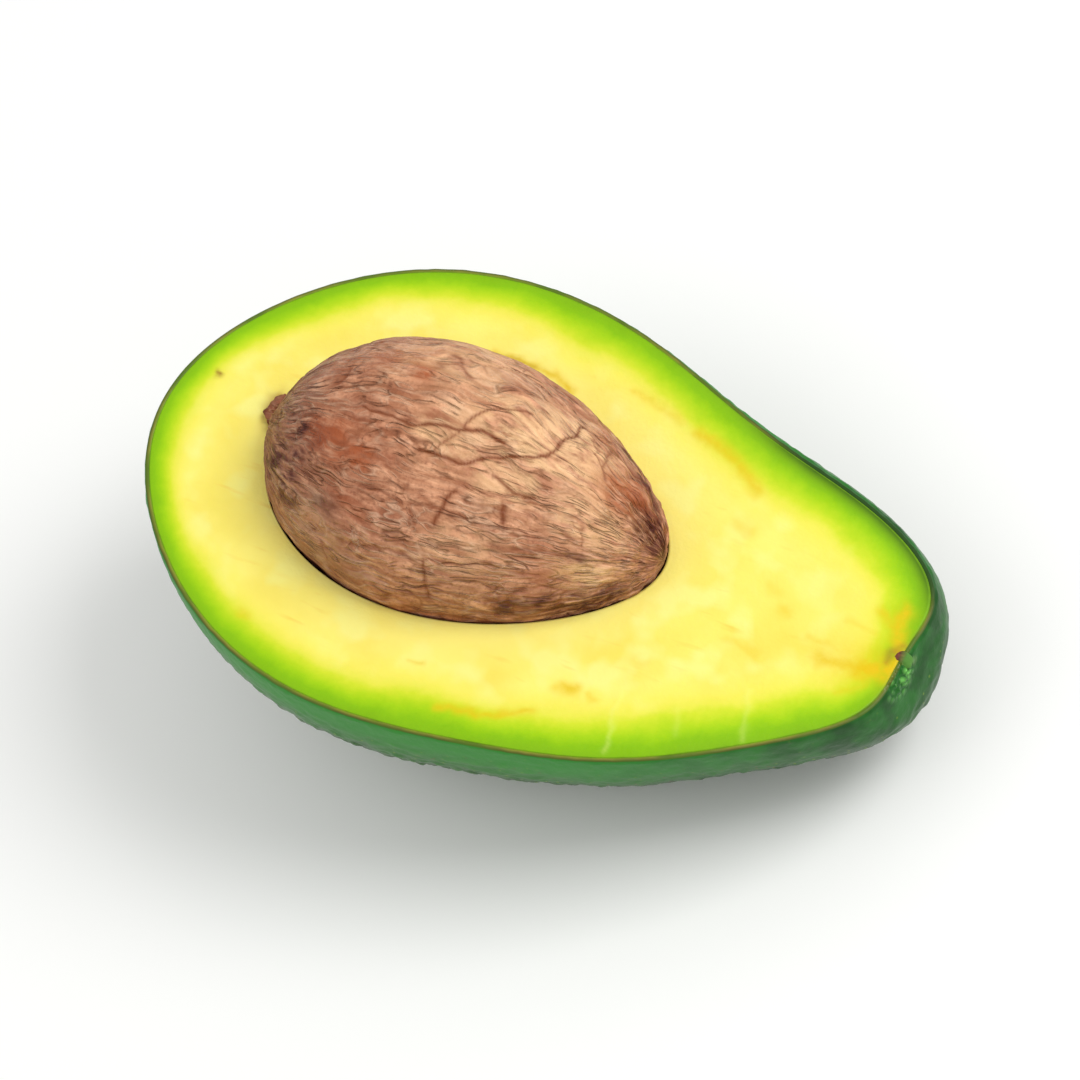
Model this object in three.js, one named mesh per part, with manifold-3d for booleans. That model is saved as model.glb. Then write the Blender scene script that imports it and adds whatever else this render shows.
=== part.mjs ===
// Half an avocado, cut lengthwise, with its seed still lying in the flesh.
// It rests on its skin with the cut face up, as a half does on a table.
//
// Lengths are in millimetres. Each shape is made about the fruit's own axis: +X runs
// along the fruit to the neck, where the stem was, and the cut face is the plane z = 0.
// The last step tips the half into the pose in which it rests, with +Z up.

import * as THREE from 'three';
import { mergeVertices } from 'three/addons/utils/BufferGeometryUtils.js';
import Module from 'manifold-3d';

// The fruit's outside: a pear shape, which is an ellipsoid with a swelling that
// changes along its length.
const fruitHalfLength = 55.6;
const fruitHalfWidth = 32.0;
const fruitSwelling = [0.208, -0.035, -0.061];
const backDepth = 0.96; // how deep the back is, as a share of the half width
const neckBend = 3.2; // how far the neck bends to the -Y side
const neckBendAt = 0.45; // where along the half length the bend is strongest
const neckBendSpread = 0.35;
const tipLean = 0.46; // millimetres that the tip grows longer, per millimetre below the cut
const tipLeanStart = 0.5; // the part of the half length where that lean begins
const shoulderRim = 0.7; // how far the neck's +Y shoulder stands out at the cut
const shoulderBelow = 4.2; // how much farther it stands out below the cut
const shoulderDepth = 5.0; // how far below the cut most of that is reached
const shoulderAt = 0.56; // where along the half length the shoulder is strongest
const shoulderSpread = 0.42;

// The pit at the tip of the neck, and what is left of the stem in it.
const pitDepth = 4.6;
const pitRadius = 9.0;
const stemSide = -1.5; // the pit and the stem lie a little to the -Y side
const stemRadius = 1.4;
const stemLength = 2.6;
const stemRoot = 49.4; // where along X the stem's inner end lies

// The seed: an egg, blunt towards the belly and pointed towards the neck.
const seedHalfLength = 28.0;
const seedHalfWidth = 17.6;
const seedSwelling = [0.16, -0.05, 0];
const seedCentre = new THREE.Vector3(-11, 0.3, 1.7);
const seedTurn = THREE.MathUtils.degToRad(-0.5);
const looseGap = 0.35; // the seed and the stem are loose by this much in the flesh

// The resting pose.
const restPitch = THREE.MathUtils.degToRad(11.0); // neck down, the half's balance
const flatSpotDepth = 0.6; // how much of the skin is pressed flat under the half

const wasm = await Module();
wasm.setup();

function solid(geometry) {
  geometry.deleteAttribute('normal');
  geometry.deleteAttribute('uv');
  const merged = mergeVertices(geometry, 1e-4);
  return new wasm.Manifold(new wasm.Mesh({
    numProp: 3,
    vertProperties: new Float32Array(merged.attributes.position.array),
    triVerts: new Uint32Array(merged.index.array),
  }));
}

function named(name, shape, look) {
  const mesh = shape.getMesh();
  const geometry = new THREE.BufferGeometry();
  geometry.setAttribute('position', new THREE.BufferAttribute(mesh.vertProperties, 3));
  geometry.setIndex(new THREE.BufferAttribute(mesh.triVerts, 1));
  geometry.computeVertexNormals();
  const result = new THREE.Mesh(geometry, new THREE.MeshStandardMaterial(look));
  result.name = name;
  return result;
}

// A ball with its poles on the X axis, each of whose points is moved by `place`.
function shapedBall(around, along, place) {
  const geometry = new THREE.SphereGeometry(1, around, along);
  geometry.rotateZ(-Math.PI / 2);
  const points = geometry.attributes.position;
  const point = new THREE.Vector3();
  for (let i = 0; i < points.count; i++) {
    point.fromBufferAttribute(points, i);
    place(point);
    points.setXYZ(i, point.x, point.y, point.z);
  }
  return solid(geometry);
}

// How much wider than an ellipsoid the shape is, at a cosine of +1 for the blunt end.
function swelling(cosine, [first, second, third]) {
  const twice = 2 * cosine ** 2 - 1;
  const thrice = 4 * cosine ** 3 - 3 * cosine;
  return 1 + first * cosine + second * twice + third * thrice;
}

function placeOnFruit(point) {
  const along = point.x;
  const side = point.y;
  const width = fruitHalfWidth * swelling(-along, fruitSwelling);
  point.y *= width;
  point.z *= width * backDepth;
  point.x = fruitHalfLength * along;
  if (along > 0) {
    const fromStem = Math.hypot(point.y - stemSide, point.z);
    point.x -= pitDepth * Math.exp(-((fromStem / pitRadius) ** 2));
  }
  const lean = THREE.MathUtils.smoothstep(along, tipLeanStart, 1);
  point.x += tipLean * lean * Math.max(0, -point.z);
  const bend = Math.exp(-(((along - neckBendAt) / neckBendSpread) ** 2));
  point.y -= neckBend * (1 - along ** 2) * bend;
  const reached = Math.exp(-(((along - shoulderAt) / shoulderSpread) ** 2));
  const shoulder = reached * THREE.MathUtils.smoothstep(side, 0, 0.5);
  const below = 1 - Math.exp(Math.min(0, point.z) / shoulderDepth);
  point.y += (shoulderRim + shoulderBelow * below) * shoulder;
}

function seedSolid(gap) {
  const turn = new THREE.Matrix4().makeRotationZ(seedTurn);
  return shapedBall(40, 28, (point) => {
    const width = seedHalfWidth * swelling(-point.x, seedSwelling) + gap;
    point.set(point.x * (seedHalfLength + gap), point.y * width, point.z * width);
    point.applyMatrix4(turn);
    point.add(seedCentre);
  });
}

// The stem's stub lies along X. Its upper half went with the other half of the fruit.
function stemSolid(gap, length) {
  const geometry = new THREE.CylinderGeometry(stemRadius + gap, stemRadius + gap, length, 20);
  geometry.rotateZ(Math.PI / 2);
  geometry.translate(stemRoot - gap + length / 2, stemSide, 0);
  return solid(geometry);
}

function box(low, high) {
  const size = high.clone().sub(low);
  const geometry = new THREE.BoxGeometry(size.x, size.y, size.z);
  const middle = low.clone().add(high).multiplyScalar(0.5);
  geometry.translate(middle.x, middle.y, middle.z);
  return solid(geometry);
}

const reach = 80; // beyond every side of the fruit
const belowCut = box(
  new THREE.Vector3(-reach, -reach, -reach),
  new THREE.Vector3(reach, reach, 0),
);

// The flat spot is level in the resting pose, so the box that presses it is tipped the
// other way while the fruit still lies with its cut face level.
function aboveTable(shape) {
  const tipped = shape.getMesh().vertProperties;
  const down = new THREE.Vector3(-Math.sin(restPitch), 0, Math.cos(restPitch));
  const point = new THREE.Vector3();
  let lowest = Infinity;
  for (let i = 0; i < tipped.length; i += 3) {
    point.fromArray(tipped, i);
    lowest = Math.min(lowest, point.dot(down));
  }
  const geometry = new THREE.BoxGeometry(4 * reach, 4 * reach, 2 * reach);
  geometry.translate(0, 0, lowest + flatSpotDepth + reach);
  geometry.rotateY(-restPitch);
  return solid(geometry);
}

function fleshAndSkin() {
  const half = shapedBall(64, 56, placeOnFruit).intersect(belowCut);
  const pressed = half.intersect(aboveTable(half));
  return pressed.subtract(seedSolid(looseGap)).subtract(stemSolid(looseGap, 4 * stemLength));
}

const avocado = new THREE.Group();
avocado.add(named('avocado_half', fleshAndSkin(), {
  color: 0x8fbf2a,
  roughness: 0.55,
  metalness: 0,
}));
avocado.add(named('seed', seedSolid(0), {
  color: 0xa9745a,
  roughness: 0.7,
  metalness: 0,
}));
avocado.add(named('stem_stub', stemSolid(0, stemLength).intersect(belowCut), {
  color: 0x6b3d2a,
  roughness: 0.9,
  metalness: 0,
}));
avocado.rotation.y = restPitch;

// The origin is the middle of the underside of everything.
const extent = new THREE.Box3().setFromObject(avocado, true);
const centre = extent.getCenter(new THREE.Vector3());
avocado.position.set(-centre.x, -centre.y, -extent.min.z);

export default avocado;
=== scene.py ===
# %% [markdown]
# # Half an avocado with its seed
#
# This notebook dresses a plain model of half an avocado: a solid for the flesh and its
# skin, a loose seed, and the stub of the stem. We keep the places and sizes of that
# model, and make new surfaces for it: pebbled skin, moist cut flesh that fades from
# green to yellow, and a seed in a dry, wrinkled coat.
#
# First we load the model. It is the frame for everything that follows, so we also
# keep its box.

# %% The frame
import itertools
import math

import bpy
import numpy as np
from mathutils import Matrix, Vector


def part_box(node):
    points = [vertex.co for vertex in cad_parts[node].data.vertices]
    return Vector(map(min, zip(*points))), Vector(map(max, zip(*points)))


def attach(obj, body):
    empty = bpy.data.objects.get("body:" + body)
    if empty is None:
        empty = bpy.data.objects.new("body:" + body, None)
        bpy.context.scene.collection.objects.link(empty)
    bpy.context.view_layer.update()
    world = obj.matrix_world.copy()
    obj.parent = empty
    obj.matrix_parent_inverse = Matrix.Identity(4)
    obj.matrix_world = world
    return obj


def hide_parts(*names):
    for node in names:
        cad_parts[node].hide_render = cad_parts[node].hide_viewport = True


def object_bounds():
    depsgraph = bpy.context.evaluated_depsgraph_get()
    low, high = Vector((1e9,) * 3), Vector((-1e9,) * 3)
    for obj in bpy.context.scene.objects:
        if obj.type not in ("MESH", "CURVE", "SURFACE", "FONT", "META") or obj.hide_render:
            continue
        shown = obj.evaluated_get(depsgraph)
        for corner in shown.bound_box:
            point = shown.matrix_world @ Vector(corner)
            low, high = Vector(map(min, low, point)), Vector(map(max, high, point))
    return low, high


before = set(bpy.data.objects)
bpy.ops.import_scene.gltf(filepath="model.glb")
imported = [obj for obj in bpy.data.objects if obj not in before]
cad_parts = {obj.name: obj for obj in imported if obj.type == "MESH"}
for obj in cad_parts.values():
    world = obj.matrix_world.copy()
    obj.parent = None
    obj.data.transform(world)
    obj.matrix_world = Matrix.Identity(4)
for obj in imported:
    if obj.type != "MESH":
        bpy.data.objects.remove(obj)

cad_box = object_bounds()
print("frame:", sorted(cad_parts), "box", [tuple(corner) for corner in cad_box])

# %% [markdown]
# A fruit has no straight edges to measure from, but its shape is regular: a long
# ellipsoid, fuller at one end. We describe it in its own frame, in millimetres. +X runs
# along the fruit to the neck, and the knife went through the plane z = 0. A direction
# from the middle of the fruit is stretched until it meets the skin, so one formula
# gives every point of the outside. The neck has a shallow pit where the stem grew,
# it bends a little to one side, and its shoulder on the other side stands out under
# the cut.

# %% The outside of the fruit
HALF_LENGTH = 55.6
HALF_WIDTH = 32.0
FRUIT_SWELLING = (0.208, -0.035, -0.061)
BACK_DEPTH = 0.96
NECK_BEND = (3.2, 0.45, 0.35)  # how far, where along the half length, how spread
TIP_LEAN = (0.46, 0.5)  # growth per millimetre below the cut, and where it begins
SHOULDER = (0.7, 4.2, 5.0)  # out at the cut, out below it, and the depth that takes
SHOULDER_PLACE = (0.56, 0.42)  # where along the half length, how spread
PIT = (4.6, 9.0)  # depth and radius
STEM_SIDE = -1.5


def swelling(cosine, terms):
    """How much wider than an ellipsoid a shape is; the cosine is +1 at the blunt end."""
    first, second, third = terms
    waves = first * cosine + second * (2 * cosine**2 - 1)
    return 1 + waves + third * (4 * cosine**3 - 3 * cosine)


def smooth_step(value, start, end):
    """0 up to start, 1 from end on, and a smooth climb between them."""
    part = np.clip((value - start) / (end - start), 0, 1)
    return part * part * (3 - 2 * part)


def on_fruit(direction):
    """Where directions from the middle of the fruit meet its skin."""
    along = direction[..., 0]
    width = HALF_WIDTH * swelling(-along, FRUIT_SWELLING)
    y = direction[..., 1] * width
    z = direction[..., 2] * width * BACK_DEPTH
    from_stem = np.hypot(y - STEM_SIDE, z)
    pit = PIT[0] * np.exp(-((from_stem / PIT[1]) ** 2)) * (along > 0)
    lean = TIP_LEAN[0] * smooth_step(along, TIP_LEAN[1], 1) * np.maximum(0, -z)
    bend = NECK_BEND[0] * np.exp(-(((along - NECK_BEND[1]) / NECK_BEND[2]) ** 2))
    reached = np.exp(-(((along - SHOULDER_PLACE[0]) / SHOULDER_PLACE[1]) ** 2))
    below = 1 - np.exp(np.minimum(0, z) / SHOULDER[2])
    shoulder = (SHOULDER[0] + SHOULDER[1] * below) * reached
    y = y - bend * (1 - along**2) + shoulder * smooth_step(direction[..., 1], 0, 0.5)
    return np.stack([HALF_LENGTH * along - pit + lean, y, z], -1)


# %% [markdown]
# The seed is an egg that lies in the same frame, with its pointed end towards the neck.
# The hollow in the flesh is the same egg, a little larger all round.

# %% The egg of the seed
SEED_HALF_LENGTH = 28.0
SEED_HALF_WIDTH = 17.6
SEED_SWELLING = (0.16, -0.05, 0)
SEED_CENTRE = np.array([-11, 0.3, 1.7])
SEED_TURN = math.radians(-0.5)


def on_seed(direction, gap=0.0):
    """Where directions from the middle of the seed meet its coat."""
    along = direction[..., 0]
    width = SEED_HALF_WIDTH * swelling(-along, SEED_SWELLING) + gap
    x = along * (SEED_HALF_LENGTH + gap)
    y = direction[..., 1] * width
    z = direction[..., 2] * width
    turned_x = x * math.cos(SEED_TURN) - y * math.sin(SEED_TURN)
    turned_y = x * math.sin(SEED_TURN) + y * math.cos(SEED_TURN)
    return np.stack([turned_x, turned_y, z], -1) + SEED_CENTRE


# %% [markdown]
# On the table the half tips neck down, until its weight is over the spot it touches
# with. So each point is turned about Y and then shifted. We don't type the shift in:
# we tip the bare formula, take its box, and compare it with the box of the real solid.

# %% From the fruit's own frame to the table
MM = 0.001
REST_PITCH = math.radians(11)


def tip(points):
    """Turns points neck down, about Y."""
    x = points[..., 0] * math.cos(REST_PITCH) + points[..., 2] * math.sin(REST_PITCH)
    z = points[..., 2] * math.cos(REST_PITCH) - points[..., 0] * math.sin(REST_PITCH)
    return np.stack([x, points[..., 1], z], -1)


def directions(turns, dips):
    """Unit vectors for each dip below the cut plane (rows) and turn round Z (columns)."""
    dips = np.asarray(dips)[:, None]
    flat = np.cos(dips)
    return np.stack([flat * np.cos(turns), flat * np.sin(turns), -np.sin(dips) + 0 * turns], -1)


bare = tip(on_fruit(directions(np.linspace(0, 2 * np.pi, 361), np.linspace(0, 1.57, 91))))
low, high = (np.array(corner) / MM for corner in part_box("avocado_half"))
bare_low, bare_high = bare.min((0, 1)), bare.max((0, 1))
shift = (low + high - bare_low - bare_high) / 2
shift[2] = high[2] - bare_high[2]


def to_table(points):
    """Points in the frame that every piece shares, in metres."""
    return (tip(points) + shift) * MM


print("shift from the fruit's own frame, mm:", shift.round(2))

# %% [markdown]
# Everything that grew is a little uneven, and two kinds of unevenness are enough here.
# **Noise** is a smooth random field: each corner of a grid of cells has a random slope,
# and the space between is blended. **Scattered centres** give pebbles: what counts is
# how far a point is from the nearest centre. Both start from a fixed seed number, so
# the fruit is the same every time.

# %% Noise and scattered centres
CELLS = 32  # a grid of random values starts again after this many cells


def noise(points, size, seed):
    """Smooth noise of about -1 to 1, whose lumps are about `size` mm across."""
    slopes = np.random.default_rng(seed).normal(size=(CELLS, CELLS, CELLS, 3))
    scaled = points / np.asarray(size, float)
    cell = np.floor(scaled).astype(int)
    part = scaled - cell
    blend = part**3 * (part * (part * 6 - 15) + 10)
    total = 0
    for corner in itertools.product((0, 1), repeat=3):
        slope = slopes[tuple(np.moveaxis((cell + corner) % CELLS, -1, 0))]
        weight = np.prod(np.where(corner, blend, 1 - blend), -1)
        total = total + weight * np.sum(slope * (part - corner), -1)
    return total


def nearest_centres(points, size, seed):
    """Distances in mm to the nearest and second nearest of centres about `size` apart."""
    jitter = 0.1 + 0.8 * np.random.default_rng(seed).random((CELLS, CELLS, CELLS, 3))
    scaled = points / size
    home = np.floor(scaled).astype(int)
    first = np.full(points.shape[:-1], np.inf)
    second = first.copy()
    for step in itertools.product((-1, 0, 1), repeat=3):
        cell = home + step
        centre = cell + jitter[tuple(np.moveaxis(cell % CELLS, -1, 0))]
        distance = np.linalg.norm(scaled - centre, axis=-1)
        second = np.minimum(second, np.maximum(first, distance))
        first = np.minimum(first, distance)
    return first * size, second * size


# %% [markdown]
# Each surface is made as a stack of rings, as a potter would raise it: from the
# middle of the underside, up the outside, over the rim and down the inside. Rings join
# into quads with even spacing, and the last hole at each end is closed with a fan.
# What we know about a point, such as its distance from the skin, is stored with it as a
# named number, and the materials read that number later.

# %% Rings into a piece
def outward(rings, inside_out=False):
    """Normals of a grid of rings that climb the outside."""
    round_the_ring = np.roll(rings, -1, 1) - np.roll(rings, 1, 1)
    normal = np.cross(round_the_ring, np.gradient(rings, axis=0))
    normal /= np.linalg.norm(normal, axis=-1, keepdims=True) + 1e-12
    return -normal if inside_out else normal


def piece_from_rings(name, rings, numbers, nodes):
    """A closed piece through rings of points in mm, which stands for CAD nodes."""
    stack, count = rings.shape[:2]
    ring, column = np.meshgrid(np.arange(stack - 1), np.arange(count), indexing="ij")
    a = ring * count + column
    b = ring * count + (column + 1) % count
    quads = np.stack([a, b, b + count, a + count], -1).reshape(-1, 4)
    first = np.stack([b[0], a[0], np.full(count, stack * count)], -1)
    last = np.stack([a[-1], b[-1], np.full(count, stack * count + 1)], -1)
    last[:, :2] += count
    with_ends = {"own_mm": rings, **numbers}
    for key, values in with_ends.items():
        flat = values.reshape(stack * count, -1)
        ends = [values[0].mean(0, keepdims=True), values[-1].mean(0, keepdims=True)]
        with_ends[key] = np.concatenate([flat] + [end.reshape(1, -1) for end in ends])
    points = to_table(with_ends["own_mm"])
    points[:, 2] = np.maximum(points[:, 2], 0)
    mesh = bpy.data.meshes.new(name)
    faces = quads.tolist() + first.tolist() + last.tolist()
    mesh.from_pydata(points.tolist(), [], faces)
    mesh.shade_smooth()
    for key, values in with_ends.items():
        kind, field = ("FLOAT_VECTOR", "vector") if values.shape[1] == 3 else ("FLOAT", "value")
        mesh.attributes.new(key, kind, "POINT").data.foreach_set(field, values.ravel())
    made = bpy.data.objects.new(name, mesh)
    bpy.context.scene.collection.objects.link(made)
    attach(made, "root")
    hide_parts(*nodes)
    triangles = 2 * len(quads) + 2 * count
    print(f"{name}: {len(points)} points, {triangles} triangles")
    return made


# %% [markdown]
# The rim of the cut is what the eye follows, so its points are spaced evenly along it,
# 0.45 mm apart. The skin and the flesh use the same columns, so they meet all the way
# round.

# %% Columns round the rim
RIM_STEP = 0.45

fine_turns = np.linspace(0, 2 * np.pi, 4001)
fine_rim = on_fruit(directions(fine_turns, [0]))[0]
rim_run = np.concatenate([[0], np.cumsum(np.linalg.norm(np.diff(fine_rim, axis=0), axis=1))])
columns = int(rim_run[-1] / RIM_STEP)
turns = np.interp(np.linspace(0, rim_run[-1], columns, endpoint=False), rim_run, fine_turns)
print(f"rim of the cut: {rim_run[-1]:.0f} mm round, {columns} columns")

# %% [markdown]
# **Skin.** It is 0.7 mm thick and leathery. On this kind it is pebbled: low, wandering,
# glossy bumps about 2 mm apart, smoother next to the cut. Bumps this large show in the
# outline, so they are real relief, pushed out along the normals of the smooth shape.
# Beside the stem the skin is rough, with a patch of shiny green warts.

# %% The skin's relief
SKIN_THICKNESS = 0.7
PEBBLE_SPACING = 2.3
WARTS = np.array([51.2, -3.8, -0.8])
WART_REACH = np.array([1.8, 3.0, 1.8])
WART_SPACING = 1.15


def beads(points, spacing, seed):
    """Round bumps about `spacing` mm apart: 1 on their tops, 0 in the valleys."""
    nearest, second = nearest_centres(points, spacing, seed)
    return smooth_step((second - nearest) / spacing, 0.0, 0.75)


def skin_relief(points):
    """How far the skin stands out, in mm, how high on a pebble it is, and the warts."""
    bent = points + 0.9 * noise(points, 3.1, 11)[..., None]
    pebble = 0.45 * beads(bent, PEBBLE_SPACING, 12) + 0.28 + 0.5 * noise(bent, 1.9, 17)
    strong = 0.3 + 0.7 * smooth_step(-points[..., 2], 2, 15)
    waves = 0.2 * noise(points, 9, 13) + 0.12 * noise(points, 4, 14)
    from_warts = np.linalg.norm((points - WARTS) / WART_REACH, axis=-1)
    wart = smooth_step(from_warts, 1.5, 0.5)
    height = strong * (0.55 * pebble + waves) * (1 - wart)
    return height + 0.6 * wart * beads(points, WART_SPACING, 15), pebble, wart


# %% [markdown]
# The rings climb the outside, roll over a small rounded edge, and go down the inside,
# where nobody looks, with far fewer rings. The knife leaves the edge of the skin a
# hair proud of the flesh.

# %% The outside and the rim of the skin
OUTER_RINGS = 112
INNER_RINGS = 14
INSIDE_DIPS = (0.03, 1.5)  # from just under the cut to near the underside, in radians
SHOULDER_START = (14, 30)  # where along the neck its dark shoulder fades in, in mm
SKIN_EDGE = [(0.0, -0.2), (0.05, -0.08), (0.15, 0.0), (0.32, 0.05), (0.52, 0.03)]

dips = np.linspace(math.pi / 2, 0, OUTER_RINGS, endpoint=False)
smooth_outside = on_fruit(directions(turns, dips[1:]))
skin_normals = outward(smooth_outside)
relief, pebble, wart = skin_relief(smooth_outside)
outside = smooth_outside + relief[..., None] * skin_normals

rim = on_fruit(directions(turns, [0]))[0]
rim_normals = outward(on_fruit(directions(turns, [0.02, 0.0])))[1]
rim_normals[:, 2] = 0
rim_normals /= np.linalg.norm(rim_normals, axis=1, keepdims=True)


def rim_ring(inset, height):
    """The rim of the cut, moved in from the skin and up."""
    return rim - inset * rim_normals + np.array([0, 0, height])


def inside_rings(inset, count):
    """Rings down the hidden side of the skin, at a depth below the outside."""
    down = on_fruit(directions(turns, np.linspace(*INSIDE_DIPS, count)))
    return down - inset * outward(down, inside_out=True)


# %% [markdown]
# Now the rings are stacked, and each point is told how deep in the skin it lies, how
# high on a pebble, whether it is on a wart, and whether on the shoulder of the neck.

# %% The skin as a piece
edge = np.stack([rim_ring(*place) for place in SKIN_EDGE])
edge[1:] += 0.05 * noise(edge[1:], (1.5, 1.5, 0.5), 16)[..., None]
inner = inside_rings(SKIN_THICKNESS, INNER_RINGS)
into_skin = np.concatenate([
    np.zeros(len(outside)),
    [inset / SKIN_THICKNESS for inset, _ in SKIN_EDGE],
    np.ones(1 + len(inner)),
])
skin_rings = np.concatenate([outside, edge, [rim_ring(SKIN_THICKNESS, -0.04)], inner])
skin_numbers = {"into_skin": np.repeat(into_skin[:, None], columns, 1)}
for key, values in (("pebble", pebble), ("wart", wart)):
    padding = np.repeat(values[-1:], len(skin_rings) - len(values), 0)
    skin_numbers[key] = np.concatenate([values, padding])
on_skin_shoulder = smooth_step(skin_rings[..., 1], 3, 11)
skin_numbers["shoulder"] = on_skin_shoulder * smooth_step(skin_rings[..., 0], *SHOULDER_START)
skin = piece_from_rings("skin", skin_rings, skin_numbers, ["avocado_half"])

# %% [markdown]
# **Flesh.** The cut face is one sheet from the skin to the hollow of the seed. A knife
# never cuts quite flat: the blade stops and starts, which leaves low facets and a few
# fine ridges, and the soft edges round off a little. Then the rings go down the hollow.

# %% The cut face
FACE_RINGS = 100
HOLLOW_RINGS = 22
SIDE_RINGS = 12
TOUCH_GAP = 0.2  # the soft flesh closes in on the seed
FLESH_INSET = 0.62  # a little less than the skin's thickness, so no light leaks between

from_seed = rim - SEED_CENTRE
hollow_turns = np.arctan2(from_seed[:, 1] / SEED_HALF_WIDTH, from_seed[:, 0] / SEED_HALF_LENGTH)
widths = SEED_HALF_WIDTH * swelling(-np.cos(hollow_turns), SEED_SWELLING) + TOUCH_GAP
lip_dip = np.arcsin(SEED_CENTRE[2] / widths)


def hollow_ring(share):
    """A ring of the hollow: its lip at 0, the middle of its floor at 1."""
    dip = lip_dip + share * (math.pi / 2 - lip_dip)
    flat = np.cos(dip)
    way = np.stack([flat * np.cos(hollow_turns), flat * np.sin(hollow_turns), -np.sin(dip)], -1)
    return on_seed(way, TOUCH_GAP)


# %% [markdown]
# The colour of the flesh depends on how far it is from the skin, so each point gets its
# distance to the nearest point of the rim. The green fades out over some 4 mm at the
# belly and more at the sides of the neck; dividing by that width gives a number that
# is 0 at the skin and 1 where green turns to yellow. A second number is the distance
# from the seed.

# %% What the flesh knows
def distance_to(points, line):
    """Each point's distance in mm to the nearest point of a closed line."""
    flat = points.reshape(-1, 3)[:, :2]
    best = np.full(len(flat), np.inf)
    for part in np.array_split(line[:, :2], 16):
        gaps = np.linalg.norm(flat[:, None] - part[None], axis=2)
        best = np.minimum(best, gaps.min(1))
    return best.reshape(points.shape[:-1])


def green_share(points, depth):
    """0 at the skin, 1 where the green of the flesh has gone."""
    x = points[..., 0]
    width = 3.7 + 1.3 * smooth_step(x, -50, -10) + 0.9 * smooth_step(x, 0, 30)
    width = width - 2.4 * smooth_step(x, 38, 50) * smooth_step(-points[..., 1], -7, 0)
    width = width + 0.8 * noise(points * [1, 1, 0], 13, 31)
    return depth / np.maximum(width, 2.0)


def strokes(u, v, lines):
    """Soft lines through points: 1 in the middle of a full-strength line, 0 off it."""
    deepest = np.zeros(u.shape)
    for strength, half_width, path in lines:
        for (u0, v0), (u1, v1) in zip(path, path[1:]):
            du, dv = u1 - u0, v1 - v0
            t = np.clip(((u - u0) * du + (v - v0) * dv) / (du * du + dv * dv), 0, 1)
            gap = np.hypot(u - u0 - t * du, v - v0 - t * dv)
            deepest = np.maximum(deepest, strength * np.exp(-((gap / half_width) ** 2)))
    return deepest


# %% [markdown]
# Fibres feed the fruit from the stem, and the knife crosses some of them. They show as
# golden threads and flecks: a fan at the stem, a streak along each side just inside the
# green, a stain beside the seed. Where the blade paused it left fine ridges, painted pale
# as a highlight. Each mark is a strength, a half width and a path, in millimetres on the
# cut face.

# %% Marks on the cut face
FIBRES = [
    (1.0, 2.0, [(50.2, -2.8), (48.4, -4.2), (46, -4.9)]),
    (0.8, 1.4, [(46, -4.9), (43.6, -5.2), (41, -5.2)]),
    (0.45, 3.6, [(49.5, -2.5), (44.5, -4.5)]),
    (0.9, 1.2, [(49.6, -0.3), (48.2, 2.3), (48.5, 5)]),
    (0.6, 0.9, [(48.2, 2.3), (45.6, 3.9)]),
    (0.4, 0.5, [(46, -4.9), (42, -3.2), (38, -3)]),
    (0.4, 0.6, [(49, -5), (47, -7.6), (44.5, -9)]),
    (0.3, 0.5, [(46, 0.5), (42, 1.2)]),
    (0.65, 0.95, [(13.5, 20.4), (17, 19.5), (20, 18.2), (22, 16.6), (24, 14.9)]),
    (0.4, 0.8, [(3.5, 23.4), (7, 22.5), (10.5, 21.4)]),
    (0.65, 0.65, [(-2.4, -29.4), (3.8, -28.3), (9.2, -25.9)]),
    (0.8, 0.9, [(11.4, -21.3), (13, -20.9)]),
    (0.5, 0.5, [(15.2, -20.8), (16, -21.3)]),
    (0.45, 0.4, [(-8.2, -24.6), (-6.6, -24.3)]),
    (0.35, 0.7, [(-32, -26), (-31, -26.1)]),
    (0.4, 1.0, [(23.4, 9.4), (25.2, 8.7)]),
    (0.4, 0.8, [(33.6, -0.2), (34.4, -0.8)]),
    (0.25, 0.9, [(31, 2.3), (32.2, 1.8)]),
    (0.25, 0.9, [(18.4, -14), (19.8, -14.2)]),
    (0.3, 0.6, [(28.4, -7), (33, -7.6)]),
    (0.8, 0.7, [(-17, 22.2), (-12, 22.5), (-8, 22.1), (-5, 20.6)]),
]
STAINED_FLESH = [
    (0.9, 0.5, [(-50.4, 6.2), (-50.1, 6.2)]),
    (0.25, 0.35, [(-17, 22.1), (-14, 22.4), (-11, 22.3)]),
    (0.7, 1.3, [(-41, 5.6), (-41.2, 3.4), (-40, 1.6)]),
    (0.5, 0.5, [(50, 0.2), (48.8, -1.2), (48.8, -2.8)]),
]
KNIFE_LINES = [
    (0.8, 0.35, [(18.8, -19), (19.5, -24), (20.3, -27.6)]),
    (0.6, 0.4, [(33.8, -13), (35.3, -17.4), (35.8, -19.8)]),
    (0.35, 0.5, [(26.5, -18.6), (27.6, -22)]),
    (0.35, 0.4, [(9.2, 14.8), (9.8, 8.9), (14, 5.2)]),
    (0.3, 0.5, [(38.6, 11), (39.4, 8)]),
]


def knife_marks(points):
    """The height of the cut face, in mm: broad facets and a few fine ridges."""
    x, y = points[..., 0], points[..., 1]
    facets = 0.16 * noise(points * [1, 1, 0], (26, 14, 1), 21)
    ripple = 0.03 * noise(points * [1, 1, 0], (9, 2.2, 1), 22)
    return facets + ripple + 0.06 * strokes(x, y, KNIFE_LINES)


# %% [markdown]
# Now the sheet itself. It is calm near its two edges, and dips a hair where it meets
# the seed.

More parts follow.
